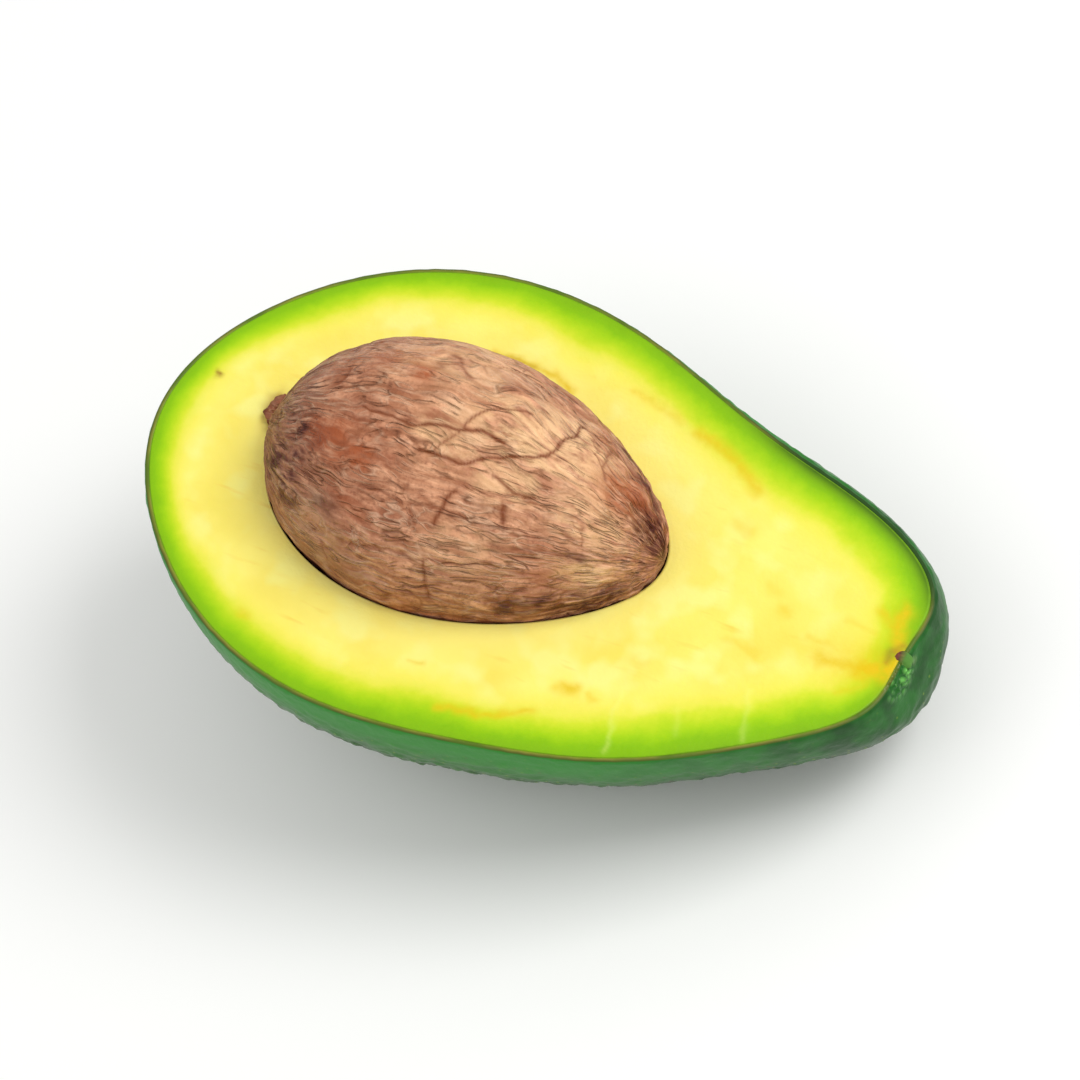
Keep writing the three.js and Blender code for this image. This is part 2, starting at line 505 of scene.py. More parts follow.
# %% The sheet of the cut face, and the hollow
shares = np.linspace(0, 1, FACE_RINGS + 2)[1:-1, None, None]
face_edge = rim_ring(FLESH_INSET, 0)
lip = hollow_ring(0)
face = face_edge + shares * (lip - face_edge)
from_rim = np.linalg.norm(face - face_edge, axis=-1)
from_lip = np.linalg.norm(face - lip, axis=-1)
calm = smooth_step(from_rim, 0, 1.5) * smooth_step(from_lip, 0, 1.5)
face[..., 2] = knife_marks(face) * calm - 0.12 * np.exp(-from_lip / 0.5)

up_the_side = inside_rings(FLESH_INSET, SIDE_RINGS)[::-1]
hollow = np.stack([hollow_ring(share) for share in np.linspace(0, 0.97, HOLLOW_RINGS)])
hollow[1:] += 0.12 * noise(hollow[1:], 2.5, 32)[..., None] * outward(hollow[1:])
flesh_rings = np.concatenate([up_the_side, [face_edge], face, hollow])

# %% [markdown]
# Every point of the flesh gets its numbers: how far inside the green it is, how far from
# the seed, and how strong each kind of mark is there. The marks are looked up at places
# that wander by half a millimetre, so that no line is ruled.

# %% The flesh as a piece
ALL_YELLOW = 2.4  # a number for "green" that lies well inside it
FAR_FROM_SEED = 9.0  # mm

face_depth = distance_to(face, rim)
green = np.concatenate([
    np.zeros((len(up_the_side) + 1, columns)),
    green_share(face, face_depth),
    np.full((len(hollow), columns), ALL_YELLOW),
])
near_seed = np.concatenate([
    np.full((len(up_the_side) + 1, columns), FAR_FROM_SEED),
    distance_to(face, lip),
    -np.linalg.norm(hollow - lip, axis=-1),
])
wander = flesh_rings[..., :2] + 0.5 * np.stack([
    noise(flesh_rings * [1, 1, 0], 1.8, 33), noise(flesh_rings * [1, 1, 0], 1.8, 34)
], -1)
on_face = (flesh_rings[..., 2] > -0.5) * 1.0
on_shoulder = np.concatenate([
    np.zeros((len(up_the_side) + 1, columns)),
    np.exp(-((face_depth / 1.5) ** 2)) * smooth_step(face[..., 1], 3, 11),
    np.zeros((len(hollow), columns)),
]) * smooth_step(flesh_rings[..., 0], *SHOULDER_START)
flesh_numbers = {"green": green, "near_seed": near_seed, "shoulder": on_shoulder}
for key, lines in (("fibre", FIBRES), ("stained", STAINED_FLESH), ("knife", KNIFE_LINES)):
    flesh_numbers[key] = strokes(wander[..., 0], wander[..., 1], lines) * on_face
flesh = piece_from_rings("flesh", flesh_rings, flesh_numbers, ["avocado_half"])

# %% [markdown]
# ** Seed.** Its coat is a thin dry brown skin, thrown into fine wrinkles that run from
# end to end like grain in wood, and cracked where the seed swelled under it. The long
# cracks are drawn in millimetres along the seed from its middle and degrees
# round it: 0 is the top, and + is the side that faces -Y.

# %% Lines on the seed
CRACKS = [
    (1.0, 0.26, [(-12.5, 7), (-9, 7), (-4.5, 8), (-1.7, 5), (0.8, 3), (3, 1), (7, 0)]),
    (0.9, 0.24, [(0.8, 3), (2, -3), (3, -8), (4.5, -13), (8, -20)]),
    (0.8, 0.22, [(0.8, 3), (0.1, 9), (-0.3, 14), (-1, 17)]),
    (1.0, 0.26, [(-2.8, 18), (-1, 17), (3, 16), (5.8, 11), (8.4, 5), (10.5, 1), (12.2, -4)]),
    (1.0, 0.3, [(12.2, -4), (12.6, -10), (13, -18), (13.7, -24), (14.2, -34)]),
    (0.8, 0.3, [(18, -46), (18, -28), (19.2, -12)]),
    (0.8, 0.3, [(14.2, -34), (18, -44), (21, -42), (24, -45)]),
    (0.9, 0.35, [(-17.5, -14), (-17.3, -5)]),
    (0.7, 0.3, [(-16, -38), (-17.5, -20)]),
    (1.0, 0.4, [(3.5, 29), (2.7, 33), (2.4, 38), (2.2, 43)]),
    (0.8, 0.26, [(-10.5, 66), (-7, 64), (-3, 61), (2, 60), (6, 58), (10, 56)]),
    (0.9, 0.28, [(2, 60), (1.7, 68), (2.7, 79)]),
    (1.0, 0.4, [(10.5, 29), (10, 37)]),
    (0.9, 0.4, [(7.5, 17), (10, 20), (13, 19)]),
    (0.7, 0.22, [(-9, 38), (-4, 40), (1, 36), (6, 38)]),
    (0.7, 0.24, [(12, 46), (16, 44), (20, 46)]),
    (0.7, 0.24, [(-4, 96), (3, 93), (11, 95)]),
    (0.8, 0.26, [(-3, -60), (4, -62), (10, -66)]),
    (0.7, 0.24, [(-8, -88), (-1, -84), (6, -88)]),
]
SMALL_CRACK_SPACING = 6.5

# %% [markdown]
# The coat is stained too: reddish and orange where it rubbed, and darkest at the blunt end.
# The dark spots are partly stains and partly painted shade, broadest round the blunt end
# and down the sides; the pale spots, mostly on the upper side towards the pointed end, are
# partly painted light. Each spot has an even middle and a soft border: millimetres along,
# degrees round, reach and strength.

# %% Stains, painted light and painted shade on the seed
STAINS_AND_PAINTED_LIGHT = {
    "rust": [
        (-14.5, 24, 3.2, 1.0), (-18, 21, 2.2, 1.0), (-10, 28, 2.2, 0.9),
        (-7.3, -17, 1.6, 1.0), (-12.5, -24, 2.2, 0.5), (22.5, -14, 3.8, 1.0),
        (24.5, -30, 3.4, 0.9), (17.5, -44, 2.0, 0.5), (-10, 50, 2.6, 0.5),
        (-2.8, 92, 2.4, 0.4), (17, 60, 3, 0.4), (-12, 40, 3, 0.4),
    ],
    "dark": [
        (-22, 52, 3.8, 1.0), (-20, 60, 2.8, 0.9), (-19, 38, 1.4, 1.0),
        (-20, 22, 1.3, 1.0), (-13, 54, 2.4, 0.6), (18, 82, 3.4, 1.0),
        (13, 82, 2.6, 0.9), (22, 88, 3.2, 1.0), (19.5, 44, 1.2, 0.6),
        (27, 10, 2.0, 0.9), (-24, 96, 4, 0.6),
        (20, -60, 2.0, 0.8), (24, -52, 2.4, 0.9), (27, -20, 2.5, 1.0),
        (28, 50, 1.3, 0.6), (8, 94, 2.8, 0.5), (-24, 40, 9, 0.45), (-24, -40, 8, 0.3),
        (-14, 92, 9, 0.4), (10, 88, 8, 0.4), (26, 0, 2.0, 0.8),
    ],
    "pale": [
        (9, -8, 7, 0.9), (9, 15, 4.5, 0.7), (14, -16, 7, 0.9), (20, 18, 5, 0.6),
        (20.5, 58, 3.2, 0.9), (-2.5, 8, 2.2, 0.6), (-3, -36, 8, 0.5), (-14, 70, 5, 0.3),
        (3, 5, 6, 0.5), (24, -6, 2.0, 0.6), (6, 52, 5, 0.35),
    ],
}


# %% [markdown]
# The seed's rings run round its long axis. Each point also gets a place on a barrel, as
# if the coat were peeled off and rolled round one. What is stretched lengthwise on the
# barrel runs towards the two ends of the seed, as its wrinkles do.

# %% The rings of the seed, and the barrel
SEED_RINGS = 270
SEED_COLUMNS = 366
BARREL_RADIUS = 17.0
BARREL_LENGTH = 72.0  # the seed's length measured along its coat
TOP_CROWDING = 0.4  # puts more columns on top, where the seed shows

lengthwise = np.linspace(0, math.pi, SEED_RINGS + 2)[1:-1, None]
around_seed = np.linspace(-math.pi, math.pi, SEED_COLUMNS, endpoint=False)[None, :]
around_seed = around_seed - TOP_CROWDING * np.sin(around_seed)
seed_way = np.stack([
    -np.cos(lengthwise) + 0 * around_seed,
    -np.sin(lengthwise) * np.sin(around_seed),
    np.sin(lengthwise) * np.cos(around_seed),
], -1)
egg = on_seed(seed_way)
egg_along = SEED_HALF_LENGTH * seed_way[..., 0]
egg_radius = np.maximum(4, SEED_HALF_WIDTH * np.sin(lengthwise)) + 0 * around_seed
barrel = np.stack([
    BARREL_LENGTH * (lengthwise / math.pi - 0.5) + 0 * around_seed,
    BARREL_RADIUS * np.cos(around_seed) + 0 * lengthwise,
    BARREL_RADIUS * np.sin(around_seed) + 0 * lengthwise,
], -1)
barrel = barrel + 1.2 * noise(barrel, (7, 4, 4), 41)[..., None]
print("seed:", SEED_RINGS, "rings of", SEED_COLUMNS, "points")

# %% [markdown]
# Folding noise at zero turns its smooth slopes into sharp creases. The long cracks are
# the lines from above, looked up at places that wander, so that none is straight. A net
# of small ones runs where two scattered centres are equally near, in patches.

# %% Wrinkles, cracks and stains
CRACK_WIDENING = 0.08  # mm, so that the finest crack is as wide as a quad


def creases(length, width, seed):
    """Sharp creases of a length and a width in mm: -1 in a crease, 0 between them."""
    return -np.exp(-np.abs(noise(barrel, (length, width, width), seed)) * 9)


def stain_and_painted_light(kind, along, around):
    """How strong one kind of spot is, from 0 to 1: stains, and painted light and shade."""
    total = np.zeros(along.shape)
    for x, angle, reach, strength in STAINS_AND_PAINTED_LIGHT[kind]:
        off = np.hypot(along - x, (around - math.radians(angle)) * egg_radius * 1.3)
        spot = np.minimum(1, 1.6 * np.exp(-((off / reach) ** 2)))
        total = np.maximum(total, strength * spot)
    return total


bent_around = around_seed + 0.035 * noise(barrel, 3.2, 46) + 0.014 * noise(barrel, 1.1, 47)
bent_along = egg_along + 0.6 * noise(barrel, 2.8, 48)
crack_lines = [
    (
        strength, half_width + CRACK_WIDENING,
        [(x, math.radians(turn) * BARREL_RADIUS) for x, turn in path],
    )
    for strength, half_width, path in CRACKS
]
crack = strokes(bent_along, bent_around * BARREL_RADIUS, crack_lines)
first, second = nearest_centres(
    barrel * [0.75, 1, 1] + 0.8 * noise(barrel, 2.2, 52)[..., None], SMALL_CRACK_SPACING, 53
)
small_crack = np.exp(-(((second - first) / 0.3) ** 2))
small_crack = small_crack * smooth_step(noise(barrel, 7, 54), -0.15, 0.35)
crack = np.maximum(crack, 0.75 * small_crack)
print(f"cracks: on {(crack > 0.5).mean():.1%} of the coat's points")

# %% [markdown]
# The coat stands out by the sum of it all: broad folds, creases that come and go, the
# cracks, a few dents, and a rough tip. At both ends it calms down, where the rings are
# too small for relief.

# %% The seed as a piece
presence = smooth_step(noise(barrel, (9, 5, 5), 45), -0.5, 0.4)
folds = noise(barrel, (9, 2.6, 2.6), 43)
fine = 0.6 * creases(7, 1.5, 44) + 0.4 * creases(4, 0.9, 55)
tip_rough = smooth_step(egg_along, 17, 25)
coat = 0.22 * folds + 0.3 * fine * (0.5 + 0.5 * presence) - 0.15 * crack
coat = coat + 0.28 * noise(egg, 6, 49) + 0.06 * noise(barrel, (1.6, 0.7, 0.7), 56)
coat = coat + tip_rough * (0.35 * noise(egg, 2.2, 50) + 0.15 * noise(egg, 0.9, 51))
taper = smooth_step(np.sin(lengthwise), 0.02, 0.3)
seed_rings = egg + (coat * taper)[..., None] * outward(egg)
seed_numbers = {"barrel_mm": barrel, "groove": np.clip(-fine, 0, 1), "crack": crack}
for kind in STAINS_AND_PAINTED_LIGHT:
    seed_numbers[kind] = stain_and_painted_light(kind, bent_along, bent_around)
seed = piece_from_rings("seed_in_coat", seed_rings, seed_numbers, ["seed"])

# %% [markdown]
# At the blunt end a scrap of the coat sticks out: the point where the seed hung in the
# fruit. It is a small lumpy bead, pressed into the flesh. What is left of the stem is
# another one, cut off level with the flesh.

# %% The scrap of coat, and the stub of the stem
LUMP_RINGS = 40
LUMP_COLUMNS = 64


def lump(name, centre, half_sizes, roughness, seed_number, nodes, flat_above=None):
    """A small uneven bead, which may be cut off at a height."""
    rise = np.linspace(-math.pi / 2, math.pi / 2, LUMP_RINGS + 2)[1:-1, None]
    turn = np.linspace(0, 2 * math.pi, LUMP_COLUMNS, endpoint=False)[None, :]
    way = np.stack([
        np.cos(rise) * np.cos(turn), np.cos(rise) * np.sin(turn), np.sin(rise) + 0 * turn,
    ], -1)
    uneven = 1 + roughness * noise(way * half_sizes, 1.4, seed_number)
    uneven = uneven + 0.5 * roughness * noise(way * half_sizes, 0.6, seed_number + 1)
    rings = way * half_sizes * uneven[..., None] + centre
    if flat_above is not None:
        rings[..., 2] = np.minimum(rings[..., 2], flat_above + 0.1 * noise(rings, 0.5, 9))
    numbers = {"barrel_mm": rings, "rust": uneven * 0.4, "dark": (uneven - 0.6) * 1.2}
    return piece_from_rings(name, rings, numbers, nodes)


scrap = lump("coat_scrap", (-39.4, 3.4, 0.6), (1.8, 2.6, 1.7), 0.3, 61, ["seed"])
stub_low, stub_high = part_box("stem_stub")
stub_size = (stub_high - stub_low) / MM
stub = lump(
    "stem_remnant",
    (50.5, STEM_SIDE - 0.1, -0.5),
    (stub_size[0] / 2, stub_size[1] / 2.6, stub_size[1] / 3.4),
    0.2,
    63,
    ["stem_stub"],
    flat_above=0.25,
)

# %% [markdown]
# ## Materials
#
# A colour is given as an sRGB hex value, but a shader works in linear light, so
# one function turns the first into the second. Another one adds a node with its inputs
# and settings and gives back its output, so that each material reads as a recipe. A
# noise takes the number of lumps per millimetre: a scale of 1 / 4.0 gives lumps 4 mm
# across, because the points of every piece carry their own place in millimetres.

# %% Helpers for materials
def linear(hex_colour):
    """An sRGB hex colour as the linear colour that a shader takes."""
    parts = [int(hex_colour[i:i + 2], 16) / 255 for i in (1, 3, 5)]
    made = [part / 12.92 if part <= 0.04045 else ((part + 0.055) / 1.055) ** 2.4 for part in parts]
    return (*made, 1.0)


def add(material, kind, *inputs, out=None, stops=(), **settings):
    """Adds a node and gives back one of its outputs: the first, or the one that out names.

    The inputs are values or outputs of other nodes, in the order in which the node
    shows them. None leaves one as it is.
    """
    made = material.node_tree.nodes.new("ShaderNode" + kind)
    for name, value in settings.items():
        setattr(made, name, value)
    shown = [socket for socket in made.inputs if socket.enabled]
    for socket, value in zip(shown, inputs):
        if isinstance(value, bpy.types.NodeSocket):
            material.node_tree.links.new(value, socket)
        elif value is not None:
            socket.default_value = value
    for number, (place, colour) in enumerate(stops):
        elements = made.color_ramp.elements
        element = elements[number] if number < 2 else elements.new(place)
        element.position = place
        element.color = linear(colour)
    return next(one for one in made.outputs if one.enabled and out in (None, one.name))


def new_material(name, piece, **values):
    """A material on a piece, and its main shader with plain values on its sockets."""
    material = bpy.data.materials.new(name)
    material.use_nodes = True
    shader = material.node_tree.nodes["Principled BSDF"]
    for key, value in values.items():
        shader.inputs[key.replace("_", " ")].default_value = value
    piece.data.materials.append(material)
    return material, shader


print("linear light of a mid grey:", round(linear("#808080")[0], 3))

# %% [markdown]
# **Ripe flesh.** Soft, fatty and moist, so it is a little translucent and shines softly.
# Just under the skin it is bright green, and it fades over a few millimetres to butter
# yellow. IOR 1.45 is that of oil. Light spreads up to 2 mm in it, blue light far less
# than red and green, which warms the shade beside the seed.
#
# The number stored as "green" is 0 at the skin and grows inwards. Two sizes of noise
# make it uneven, so that the fade is streaky and no clean band, and a colour ramp turns
# it into the colours on the way in.

# %% Material: ripe flesh
GREEN_RANGE = 3.0  # the stored number at which the ramp ends

look, shader = new_material(
    "ripe_flesh", flesh, IOR=1.45, Specular_IOR_Level=0.22, Subsurface_Weight=0.12,
    Subsurface_Scale=0.002,
)
shader.inputs["Subsurface Radius"].default_value = (1.0, 0.8, 0.25)
place = add(look, "Attribute", out="Vector", attribute_name="own_mm")
stored = {
    name: add(look, "Attribute", out="Fac", attribute_name=name)
    for name in ("green", "near_seed", "fibre", "knife", "stained", "shoulder")
}
streaky = add(look, "TexNoise", place, 1 / 4.0, 3.0)
greenness = add(look, "Math", streaky, 0.36, stored["green"], operation="MULTIPLY_ADD")
fine_streaks = add(look, "TexNoise", place, 1 / 1.1)
greenness = add(look, "Math", fine_streaks, 0.12, greenness, operation="MULTIPLY_ADD")
greenness = add(look, "Math", greenness, 0.24, operation="SUBTRACT")
rim_to_heart = add(
    look, "ValToRGB", add(look, "Math", greenness, GREEN_RANGE, operation="DIVIDE"),
    stops=[
        (0.0, "#6f9d0c"), (0.04, "#7fb404"), (0.13, "#88bf01"), (0.2, "#9fce05"),
        (0.27, "#b8d816"), (0.34, "#d2e02c"), (0.4, "#e6e54a"), (0.53, "#f8ec68"),
        (0.66, "#fdef78"), (1.0, "#fae96c"),
    ],
)

# %% [markdown]
# The yellow isn't even: it has deeper and paler clouds, is a little more olive towards
# the neck, and palest round the seed. All of these stay out of the green.

# %% Clouds in the yellow
inside = add(look, "MapRange", stored["green"], 1.1, 2.0)

deep_cloud = add(look, "TexNoise", place, 1 / 12.0, 3.0)
deep_cloud = add(look, "MapRange", deep_cloud, 0.4, 0.68, 0.0, 0.8)
clouded = add(look, "Mix", deep_cloud, rim_to_heart, linear("#eedb55"), data_type="RGBA")

pale_cloud = add(look, "TexNoise", place, 1 / 7.0, 2.0)
pale_cloud = add(look, "MapRange", pale_cloud, 0.5, 0.64, 0.0, 0.7)
clouded = add(look, "Mix", pale_cloud, clouded, linear("#f4f28e"), data_type="RGBA")

towards_neck = add(look, "SeparateXYZ", place, out="X")
towards_neck = add(look, "MapRange", towards_neck, 30.0, 44.0, 0.0, 0.6)
clouded = add(look, "Mix", towards_neck, clouded, linear("#ebe05a"), data_type="RGBA")
clouded = add(look, "Mix", inside, rim_to_heart, clouded, data_type="RGBA")

halo = add(look, "MapRange", stored["near_seed"], 7.0, 0.5, 0.0, 0.6)
halo = add(look, "Math", halo, inside, operation="MULTIPLY")
clouded = add(look, "Mix", halo, clouded, linear("#fff08a"), data_type="RGBA")

# %% [markdown]
# The fibres are golden, the knife lines carry a pale painted highlight, and the stains are
# brown. Between the drawn fibres run short faint ones, from noise that is stretched along
# the fruit. On the neck's shoulder the flesh just inside the skin is dark green: partly its
# own colour under the skin, partly painted shade where its edge rounds down. In the hollow
# the coat of the seed left a brown film, which is also painted shade in the gap round the
# seed.

# %% Fibres, stains, painted highlight, painted shade and the film in the hollow
short_fibres = add(look, "Mapping", place, None, None, (0.2, 1.0, 1.0))
short_fibres = add(look, "TexNoise", short_fibres, 1 / 1.5, 2.0)
short_fibres = add(look, "MapRange", short_fibres, 0.62, 0.75)
patches = add(look, "MapRange", add(look, "TexNoise", place, 1 / 9.0), 0.46, 0.62, 0.0, 0.5)
short_fibres = add(look, "Math", short_fibres, patches, operation="MULTIPLY")
short_fibres = add(look, "Math", short_fibres, inside, operation="MULTIPLY")
threaded = add(look, "Mix", short_fibres, clouded, linear("#ecc23e"), data_type="RGBA")

broken = add(look, "MapRange", add(look, "TexNoise", place, 1 / 1.3, 3.0), 0.3, 0.55, 0.7, 1.0)
fibre = add(look, "Math", stored["fibre"], broken, operation="MULTIPLY")
threaded = add(look, "Mix", fibre, threaded, linear("#e3c008"), data_type="RGBA")
# Painted highlight: the knife lines are made paler.
knife = add(look, "Math", stored["knife"], 0.32, operation="MULTIPLY")
threaded = add(look, "Mix", knife, threaded, linear("#ecf484"), data_type="RGBA")
stained = add(look, "Math", stored["stained"], broken, operation="MULTIPLY")
threaded = add(look, "Mix", stained, threaded, linear("#8f5c22"), data_type="RGBA")
# Partly the flesh's own dark green under the skin, partly painted shade of the shoulder's rounded
# edge.
threaded = add(look, "Mix", stored["shoulder"], threaded, linear("#1f4506"), data_type="RGBA")
# The brown in the hollow is partly a film of seed coat and partly painted shade in the gap round
# the seed.
film_and_painted_shade = add(look, "MapRange", stored["near_seed"], 0.2, -0.35)
filmed_and_shaded = add(look, "Mix", film_and_painted_shade, threaded, linear("#6b3d1e"), data_type="RGBA")
look.node_tree.links.new(filmed_and_shaded, shader.inputs["Base Color"])

# %% [markdown]
# A cut through soft cells isn't smooth: it has a fine grain, which a bump is enough for,
# and it is wetter in some places than in others.

# %% The grain and the wetness of the cut
grain = add(look, "Bump", 0.5, 0.00012, None, add(look, "TexNoise", place, 1 / 0.7, 4.0))
look.node_tree.links.new(grain, shader.inputs["Normal"])
wet = add(look, "MapRange", add(look, "TexNoise", place, 1 / 6.0), 0.35, 0.65, 0.36, 0.55)
look.node_tree.links.new(wet, shader.inputs["Roughness"])
print(look.name, "has", len(look.node_tree.nodes), "nodes")

# %% [markdown]
# **Avocado skin.** Waxy and dark green, so it shines, but the pebbles break the shine up.
# The tops of the pebbles are painted lighter and the valleys darker, as light and shade on
# the bumps. The green is brighter along the cut, where the skin is smooth, and darker at
# the neck.

# %% Material: avocado skin
look, shader = new_material("avocado_skin", skin, IOR=1.47, Specular_IOR_Level=0.28)
place = add(look, "Attribute", out="Vector", attribute_name="own_mm")
lengthways = add(look, "SeparateXYZ", place, out="X")
upward = add(look, "SeparateXYZ", place, out="Z")
stored = {
    name: add(look, "Attribute", out="Fac", attribute_name=name)
    for name in ("pebble", "wart", "into_skin", "shoulder")
}
# Painted light and shade: the valleys of the pebbles are darker and their tops lighter.
pebble_shade_to_light = add(
    look, "ValToRGB", stored["pebble"],
    stops=[(0.0, "#174406"), (0.5, "#22560a"), (1.0, "#3a7012")],
)
mottling = add(look, "MapRange", add(look, "TexNoise", place, 1 / 1.6, 3.0), 0.35, 0.7)
mottled = add(look, "Mix", mottling, pebble_shade_to_light, linear("#1a4a08"), data_type="RGBA")
belt = add(look, "MapRange", upward, -13.0, -3.0, 0.0, 0.75)
mottled = add(look, "Mix", belt, mottled, linear("#2f8f2c"), data_type="RGBA")
neck_shade = add(look, "MapRange", lengthways, 15.0, 46.0)
uneven = add(look, "MapRange", add(look, "TexNoise", place, 1 / 5.0, 3.0), 0.4, 0.6, 0.55, 0.95)
neck_shade = add(look, "Math", neck_shade, uneven, operation="MULTIPLY")
mottled = add(look, "Mix", neck_shade, mottled, linear("#0b430a"), data_type="RGBA")

# %% [markdown]
# Small breathing pores, the lenticels, show as yellow-green and red-brown specks up to
# 0.5 mm wide, 1.5 to 2 mm apart. Each cell of a Voronoi pattern has one centre, so the
# distance to it makes a round speck. They fade out towards the cut.

# %% Specks on the skin
away_from_cut = add(look, "MapRange", upward, -3.0, -10.0, 0.1, 1.0)


def specks(spacing, reach, offset):
    """Round specks about `spacing` mm apart, 1 inside and 0 outside."""
    moved = add(look, "Mapping", place, offset)
    spot = add(look, "TexVoronoi", moved, 1 / spacing)
    inside = add(look, "MapRange", spot, reach / spacing, 0.6 * reach / spacing)
    return add(look, "Math", inside, away_from_cut, operation="MULTIPLY")


yellow_specks = specks(1.5, 0.24, (0, 0, 0))
red_specks = specks(1.9, 0.26, (7, 3, 5))
specked = add(look, "Mix", yellow_specks, mottled, linear("#7d9a2c"), data_type="RGBA")
specked = add(look, "Mix", red_specks, specked, linear("#6b4a30"), data_type="RGBA")

# %% [markdown]
# The warts beside the stem have a painted highlight on their tops, and a crust of cork
# sits where the stem came off. Cut across, the skin is an olive line that turns green where
# it joins the flesh.

# %% Warts, cork and the cut edge
CORK_CENTRE = (53.0, -0.8, -0.8)

bead = add(look, "TexVoronoi", place, 1 / WART_SPACING)
bead_height = add(look, "MapRange", bead, 0.6, 0.1)
# Painted highlight: the tops of the warts are lighter green.
bead_dark_and_highlight = (linear("#166012"), linear("#86dc66"))
bead_light_and_shade = add(look, "Mix", bead_height, *bead_dark_and_highlight, data_type="RGBA")
warty = add(look, "Mix", stored["wart"], specked, bead_light_and_shade, data_type="RGBA")
from_cork = add(look, "VectorMath", place, CORK_CENTRE, operation="DISTANCE")
cork = add(look, "MapRange", from_cork, 1.6, 0.5, 0.0, 0.8)
warty = add(look, "Mix", cork, warty, linear("#8f8a5c"), data_type="RGBA")

cut_across = add(
    look, "ValToRGB", stored["into_skin"],
    stops=[(0.0, "#2f5d17"), (0.25, "#565a18"), (0.6, "#80802c"), (1.0, "#7aa208")],
)
dried = add(look, "MapRange", add(look, "TexNoise", place, 1 / 9.0, 4.0), 0.42, 0.6, 0.0, 0.8)
cut_across = add(look, "Mix", dried, cut_across, linear("#4a6a12"), data_type="RGBA")
# Painted shade: on the neck's shoulder the cut edge of the skin is darkened.
shoulder_painted_shade = linear("#1f4506")
cut_across = add(look, "Mix", stored["shoulder"], cut_across, shoulder_painted_shade, data_type="RGBA")
on_edge = add(look, "MapRange", stored["into_skin"], 0.02, 0.12)
skin_colour = add(look, "Mix", on_edge, warty, cut_across, data_type="RGBA")
look.node_tree.links.new(skin_colour, shader.inputs["Base Color"])

# %% [markdown]
# The wax has a fine grain of its own. The skin shines more round the back than in the
# smooth belt under the cut, and the warts look wet.

# %% Wax and gloss
waxy = add(look, "Bump", 0.7, 0.00012, None, add(look, "TexNoise", place, 1 / 0.9, 3.0))
bead_height = add(look, "Math", bead_height, stored["wart"], operation="MULTIPLY")
beaded = add(look, "Bump", 1.0, 0.0005, None, bead_height, waxy)
look.node_tree.links.new(beaded, shader.inputs["Normal"])
roughness = add(look, "MapRange", upward, -3.0, -12.0, 0.42, 0.27)
wet_wart = add(look, "Math", stored["wart"], -0.3, operation="MULTIPLY")
roughness = add(look, "Math", roughness, wet_wart, operation="ADD", use_clamp=True)
look.node_tree.links.new(roughness, shader.inputs["Roughness"])
print(look.name, "has", len(look.node_tree.nodes), "nodes")

# %% [markdown]
# ** Seed coat.** Dry, papery and dull, like thin bark. On a pinkish brown ground run pale
# threads, a painted highlight on the sharp tops of wrinkles, and brown hairline cracks.
# Both are where a stretched noise passes through one of its middle values, because that
# makes thin lines that wander, part and join. Real hairlines are finer than these, which
# are wide enough to show.

# %% Material: dry seed coat
look, shader = new_material("dry_seed_coat", seed, Roughness=0.5, Specular_IOR_Level=0.32)
scrap.data.materials.append(look)
place = add(look, "Attribute", out="Vector", attribute_name="own_mm")
on_barrel = add(look, "Attribute", out="Vector", attribute_name="barrel_mm")
stored = {
    name: add(look, "Attribute", out="Fac", attribute_name=name)
    for name in ("groove", "crack", "pale", "rust", "dark")
}
swirl = add(look, "TexNoise", place, 1 / 3.5, 1.0, out="Color")
bent = add(look, "VectorMath", swirl, (1.2, 1.2, 1.2), on_barrel, operation="MULTIPLY_ADD")


def threads(size, level, half_width, stretch=0.14):
    """Thin lines along the seed where its noise passes a level, 1 in their middle."""
    stretched = add(look, "Mapping", bent, None, None, (stretch, 1, 1))
    field = add(look, "TexNoise", stretched, 1 / size, 1.0)
    off = add(look, "Math", field, level, operation="SUBTRACT")
    off = add(look, "Math", off, operation="ABSOLUTE")
    return add(look, "MapRange", off, half_width, 0.0)


# The pale threads are a painted highlight along the tops of the wrinkles.
painted_thread_highlights = (threads(1.8, 0.5, 0.05), threads(1.3, 0.55, 0.05, 0.2))
painted_thread_highlights = add(look, "Math", *painted_thread_highlights, operation="MAXIMUM")
here_pale = add(look, "MapRange", add(look, "TexNoise", place, 1 / 4.0), 0.4, 0.6, 0.1, 0.7)
painted_thread_highlights = add(look, "Math", painted_thread_highlights, here_pale, operation="MULTIPLY")

brown_threads = (threads(2.8, 0.47, 0.03, 0.25), threads(1.5, 0.43, 0.04, 0.2))
brown_threads = add(look, "Math", *brown_threads, operation="MAXIMUM")
here_brown = add(look, "MapRange", add(look, "TexNoise", place, 1 / 3.1, 3.0), 0.42, 0.6)
brown_threads = add(look, "Math", brown_threads, here_brown, operation="MULTIPLY")

# %% [markdown]
# The colours go on in layers, as a painter would: a blotchy ground, brown grain along
# the seed, a dusting of dark speckles, painted shade towards the blunt end and in the
# grooves, and then the threads.

# %% Colours of the seed coat
ground = add(look, "Mapping", bent, None, None, (0.5, 1, 1))
ground = add(look, "MapRange", add(look, "TexNoise", ground, 1 / 2.4, 4.0), 0.32, 0.68)
coat_colour = add(look, "Mix", ground, linear("#bb7858"), linear("#f6b68c"), data_type="RGBA")

grain = add(look, "Mapping", bent, None, None, (0.3, 1, 1))
grain = add(look, "TexNoise", grain, 1 / 0.9, 3.0)
grain = add(look, "MapRange", grain, 0.38, 0.62, 0.0, 0.72)
speckle = add(look, "TexNoise", place, 1 / 0.5, 3.0)
speckle_share = add(look, "MapRange", speckle, 0.5, 0.72, 0.0, 0.5)
